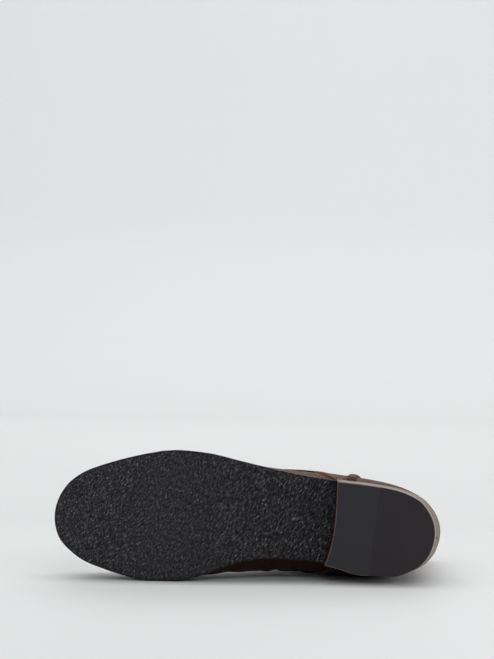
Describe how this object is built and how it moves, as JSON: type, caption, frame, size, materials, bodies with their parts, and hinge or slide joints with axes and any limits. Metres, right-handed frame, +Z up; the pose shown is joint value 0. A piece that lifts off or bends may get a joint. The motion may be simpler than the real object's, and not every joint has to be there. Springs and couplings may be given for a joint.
{
  "type": "lace-up ankle boot",
  "caption": "Brown leather derby ankle boot with a black crepe rubber sole, stacked heel and laced front, left foot, lying on its inner side.",
  "frame": {"origin": "centre of the bottom face of the bounding box, on the floor under the boot as it lies on its inner side", "axes": "+X along the sole towards the heel, +Y from the sole up the shaft to the collar, +Z up, towards the boot's outer side"},
  "size_m": [0.2678, 0.1718, 0.0905],
  "materials": {
    "crepe_rubber": "matt black crepe rubber with a wrinkled surface",
    "stacked_leather": "pale taupe stacked leather with fine layer lines, satin",
    "lift_front": "smooth dark rubber, satin",
    "lift_rear": "smooth dark rubber, a little warmer and rougher than the front part",
    "lining_leather": "natural lining leather, matt",
    "brown_leather": "brown smooth leather with fine grain, polished",
    "lace_cord": "dark brown braided cotton",
    "aged_brass": "aged brass, satin"
  },
  "bodies": {
    "root": {"outsole": "crepe_rubber", "heel_stack": "stacked_leather", "top_lift_front": "lift_front", "top_lift_rear": "lift_rear", "insole": "lining_leather", "upper": "brown_leather", "tongue": "brown_leather", "side_strip": "brown_leather", "lace": "lace_cord", "eyelet_medial_1": "aged_brass", "eyelet_medial_2": "aged_brass", "eyelet_medial_3": "aged_brass", "eyelet_medial_4": "aged_brass", "eyelet_medial_5": "aged_brass", "eyelet_medial_6": "aged_brass", "eyelet_medial_7": "aged_brass", "eyelet_lateral_1": "aged_brass", "eyelet_lateral_2": "aged_brass", "eyelet_lateral_3": "aged_brass", "eyelet_lateral_4": "aged_brass", "eyelet_lateral_5": "aged_brass", "eyelet_lateral_6": "aged_brass", "eyelet_lateral_7": "aged_brass"}
  },
  "joints": []
}
